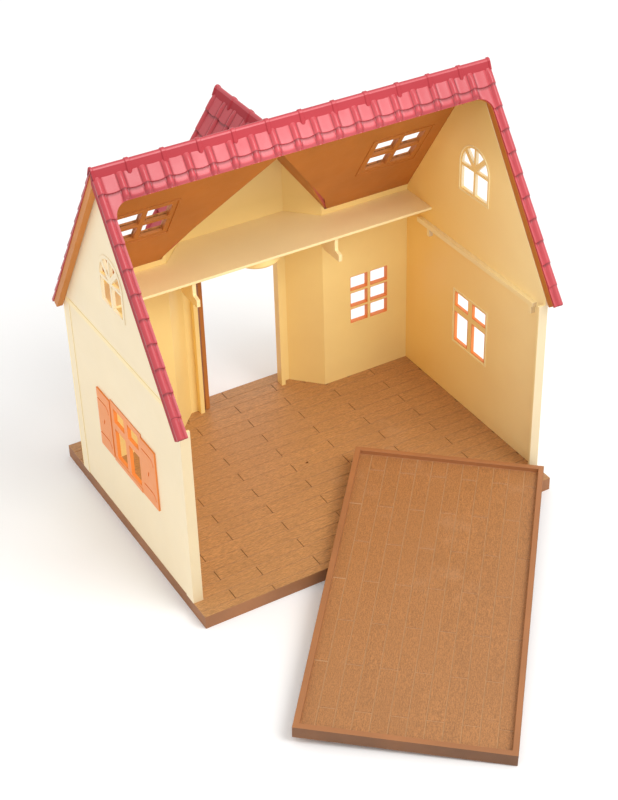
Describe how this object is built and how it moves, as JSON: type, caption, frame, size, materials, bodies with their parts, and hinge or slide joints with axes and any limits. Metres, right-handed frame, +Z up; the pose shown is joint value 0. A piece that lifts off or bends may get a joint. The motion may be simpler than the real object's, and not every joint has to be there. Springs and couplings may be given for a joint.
{
  "type": "toy house",
  "caption": "Toy cottage with an open front, tiled gable roof, dormer over a bay with a hinged door, loft shelf, shuttered windows and a lift-out upper floor.",
  "frame": {"origin": "centre of the base's underside, on the surface that the house stands on", "axes": "+X to the right along the ridge, +Y from the open front towards the door, +Z up"},
  "size_m": [0.2552, 0.4173, 0.2594],
  "materials": {
    "brown_floor": "satin, moulded wood grain",
    "cream_wall": "satin",
    "red_roof": "semi-gloss",
    "brown_liner": "satin",
    "orange_trim": "satin",
    "brown_door": "satin"
  },
  "bodies": {
    "house": {"base_plate": "brown_floor", "left_gable_wall": "cream_wall", "right_gable_wall": "cream_wall", "facade_wall": "cream_wall", "loft_shelf": "cream_wall", "ceiling_rose": "cream_wall", "main_roof": "red_roof", "ridge_cap": "red_roof", "dormer_roof": "red_roof", "dormer_ridge_cap": "red_roof", "roof_liner": "brown_liner", "dormer_liner": "brown_liner", "left_window_casing": "orange_trim", "right_window_casing": "orange_trim", "left_front_shutter": "orange_trim", "left_rear_shutter": "orange_trim", "right_front_shutter": "orange_trim", "right_rear_shutter": "orange_trim", "left_facade_window": "orange_trim", "right_facade_window": "orange_trim"},
    "door": {"door_leaf": "brown_door", "door_hinge_pins": "brown_door", "door_knobs": "orange_trim"},
    "upper_floor": {"upper_floor": "brown_floor"}
  },
  "joints": [
    {"name": "door_hinge", "type": "hinge", "parent": "house", "child": "door", "pos_m": [-0.0261, 0.0857, 0.06], "axis": [0, 0, 1], "range_deg": [-90, 25]},
    {"name": "floor_lift", "type": "slide", "parent": "house", "child": "upper_floor", "axis": [0, -0.3, 0.9539], "range_m": [0, 0.3]}
  ]
}
